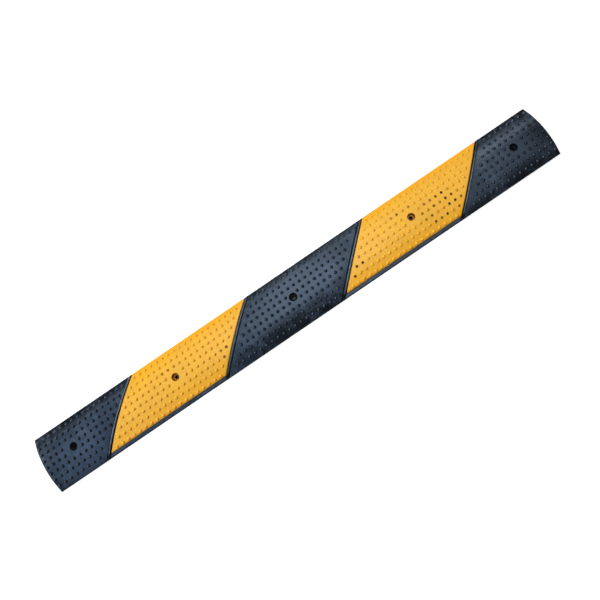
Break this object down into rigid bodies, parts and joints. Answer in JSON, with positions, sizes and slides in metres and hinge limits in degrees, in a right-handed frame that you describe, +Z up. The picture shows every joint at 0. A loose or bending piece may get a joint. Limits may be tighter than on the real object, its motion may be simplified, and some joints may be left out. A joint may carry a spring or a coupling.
{
  "type": "speed bump",
  "caption": "Low rubber speed bump with a domed section, black and yellow studded treads between slanted beads, and a row of counterbored bolt holes",
  "frame": {"origin": "the middle of the underside, on the road surface", "axes": "+X along the strip, +Y across it towards the side where the yellow treads run out to the edge, +Z up from the road"},
  "size_m": [1, 0.099, 0.0174],
  "materials": {
    "black_rubber": "matte moulded black rubber",
    "yellow_rubber": "satin moulded yellow rubber"
  },
  "bodies": {
    "root": {"base": "black_rubber", "left_black_tread": "black_rubber", "left_yellow_tread": "yellow_rubber", "centre_black_tread": "black_rubber", "right_yellow_tread": "yellow_rubber", "right_black_tread": "black_rubber"}
  },
  "joints": []
}
